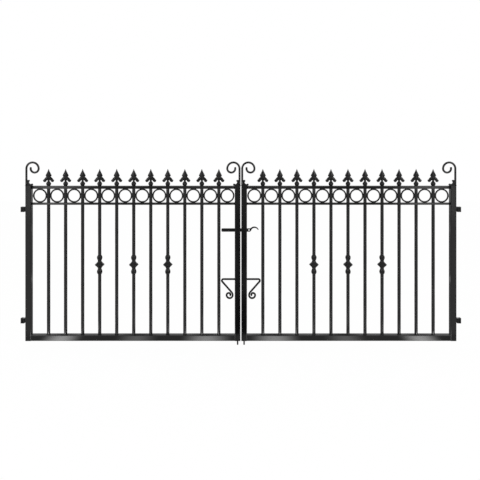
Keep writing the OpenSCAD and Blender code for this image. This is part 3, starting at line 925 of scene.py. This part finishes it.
def makeRails():
    rows = railSet["rows"]
    for side in sides:
        for rail, (down, up) in railSet["grow"].items():
            node = side + "_" + rail
            low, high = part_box(node)
            loop = railSection((low[1], low[2] - down), (high[1], high[2] + up))
            verts = []
            for i in range(rows + 1):
                x = low[0] + (high[0] - low[0]) * i / rows
                sway = railSet["wave"] * math.sin(2 * math.pi * x / railSet["length"])
                verts += [(x, y, z + sway) for y, z in loop]
            faces = tubeFaces(rows + 1, len(loop))
            name = side + "".join(word.capitalize() for word in rail.split("_"))
            piece = keepMesh(name, verts, faces, side + "_leaf", slotOf[node])
            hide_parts(node)
    print("rails rolled")


makeRails()

# welds: lumpy beads round the bars and along the seams
# bead sizes: barFoot, barHead (bars at the upper rails), seam, tube (sides of the bottom rail), thin
# out, rise and thick are shares of the bead, and the last row says where the seams stop short
weldSet = dict(
    barFoot=0.0032, barHead=0.00192, seam=0.0026, tube=0.0018, thin=0.002,
    around=36, section=8, out=0.25, rise=0.15, thick=0.75, barPhase=1.7, jointPhase=0.9,
    lump=0.18, ripples=9, wander=0.1, wanderRate=2.3,
    pitch=0.0042, step=0.0016, leastSteps=6, endShare=0.35, endRate=5,
    railIn=0.003, tubeIn=0.0012, tubeEnd=0.004, shortIn=0.002, eyeNeck=0.007, guide=0.024,
)


def weldRing(radius, bead, up, phase):
    s = weldSet
    verts = []
    for a in fullTurn(s["around"]):
        lump = s["lump"] * math.sin(s["ripples"] * a + phase)
        wander = s["wander"] * math.sin(s["wanderRate"] * a + 2 * phase)
        size = bead * (1 + lump + wander)
        for b in fullTurn(s["section"]):
            r = radius + s["out"] * size + size * s["thick"] * math.cos(b)
            z = s["rise"] * size + size * s["thick"] * math.sin(b)
            verts.append((r * math.cos(a), r * math.sin(a), up * z))
    return verts, gridFaces(s["around"], s["section"], closedRows=True)


def weldLine(start, end, size, phase):
    # a straight rippled bead along one axis, drawn in at its ends
    s = weldSet
    axis = max(range(3), key=lambda k: abs(end[k] - start[k]))
    length = abs(end[axis] - start[axis])
    count = max(s["leastSteps"], int(length / s["step"]))
    verts = []
    for i in range(count + 1):
        along = i / count
        taper = min(1.0, s["endShare"] + s["endRate"] * min(along, 1 - along))
        r = size * taper * (1 + s["lump"] * math.sin(2 * math.pi * along * length / s["pitch"] + phase))
        for b in fullTurn(s["section"]):
            point = [start[m] + (end[m] - start[m]) * along for m in range(3)]
            point[(axis + 1) % 3] += r * math.cos(b)
            point[(axis + 2) % 3] += r * math.sin(b)
            verts.append(tuple(point))
    return verts, tubeFaces(count + 1, s["section"])


def makeWelds():
    s = weldSet
    for side in sides:
        bars, radius = barRow(side)
        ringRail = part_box(side + "_ring_rail")
        joints = [
            (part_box(side + "_bottom_rail")[1][2], 1, s["barFoot"]),
            (ringRail[0][2], -1, s["barHead"]),
            (ringRail[1][2], 1, s["barHead"]),
            (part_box(side + "_top_rail")[0][2], -1, s["barHead"]),
        ]
        store = ([], [])
        for n, x in enumerate(bars):
            for m, (z, up, bead) in enumerate(joints):
                phase = s["barPhase"] * n + s["jointPhase"] * m
                addShape(store, *weldRing(radius + barSet["grow"], bead, up, phase), (x, 0.0, z))
        keepMesh(side + "BarWelds", *store, side + "_leaf", "painted_bars")
    print("bar welds laid")


def seamLines(side):
    # start, end and size of each straight bead: rail ends, hinge eyes, latch keep or guide, bolt guides
    s = weldSet
    lines = []
    for rail in ("_bottom_rail", "_top_rail", "_ring_rail"):
        low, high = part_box(side + rail)
        tube = rail == "_bottom_rail"
        for x in (low[0], high[0]):
            for z in (high[2],) if tube else (low[2], high[2]):
                lines.append(((x, low[1] + s["railIn"], z), (x, high[1] - s["railIn"], z), s["seam"]))
            if tube:
                foot, head = low[2] + s["tubeEnd"], high[2] - s["tubeEnd"]
                for y in (low[1] + s["tubeIn"], high[1] - s["tubeIn"]):
                    lines.append(((x, y, foot), (x, y, head), s["tube"]))
    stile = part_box(side + "_hinge_stile")
    x = stile[0][0] if side == "left" else stile[1][0]
    low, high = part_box(side + "_hinge_eyes")
    half = -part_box("left_hinge_eyes")[0][2]  # the lower eye is centred on the origin
    neck = s["eyeNeck"]
    for z in (low[2] + half, high[2] - half):
        for edge in (z - half, z + half):
            lines.append(((x, -neck, edge), (x, neck, edge), s["thin"]))
        for y in (-neck, neck):
            lines.append(((x, y, z - half), (x, y, z + half), s["thin"]))
    low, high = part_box("latch_keep" if side == "left" else "latch_guide")
    for z in (low[2], high[2]):
        start, end = (low[0] + s["shortIn"], low[1], z), (high[0] - s["shortIn"], low[1], z)
        lines.append((start, end, s["seam"]))
    low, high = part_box(side + "_bolt_guides")
    for foot in (low[2], high[2] - s["guide"]):
        head = foot + s["guide"]
        for x in (low[0], high[0]):
            start, end = (x, low[1], foot + s["shortIn"]), (x, low[1], head - s["shortIn"])
            lines.append((start, end, s["thin"]))
    return lines


def makeSeams():
    for side in sides:
        lines = seamLines(side)
        store = ([], [])
        for n, (start, end, size) in enumerate(lines):
            addShape(store, *weldLine(start, end, size, n))
        for n, end in enumerate(("hinge", "meeting")):
            low, high, thick, x = scrollStand(side, end)
            bead = weldRing(thick / 2, weldSet["seam"], 1, len(lines) + n)
            addShape(store, *bead, (x, (low[1] + high[1]) / 2, low[2]))
        keepMesh(side + "SeamWelds", *store, side + "_leaf", "painted_frame")
    print("seam welds laid")


makeWelds()
makeSeams()
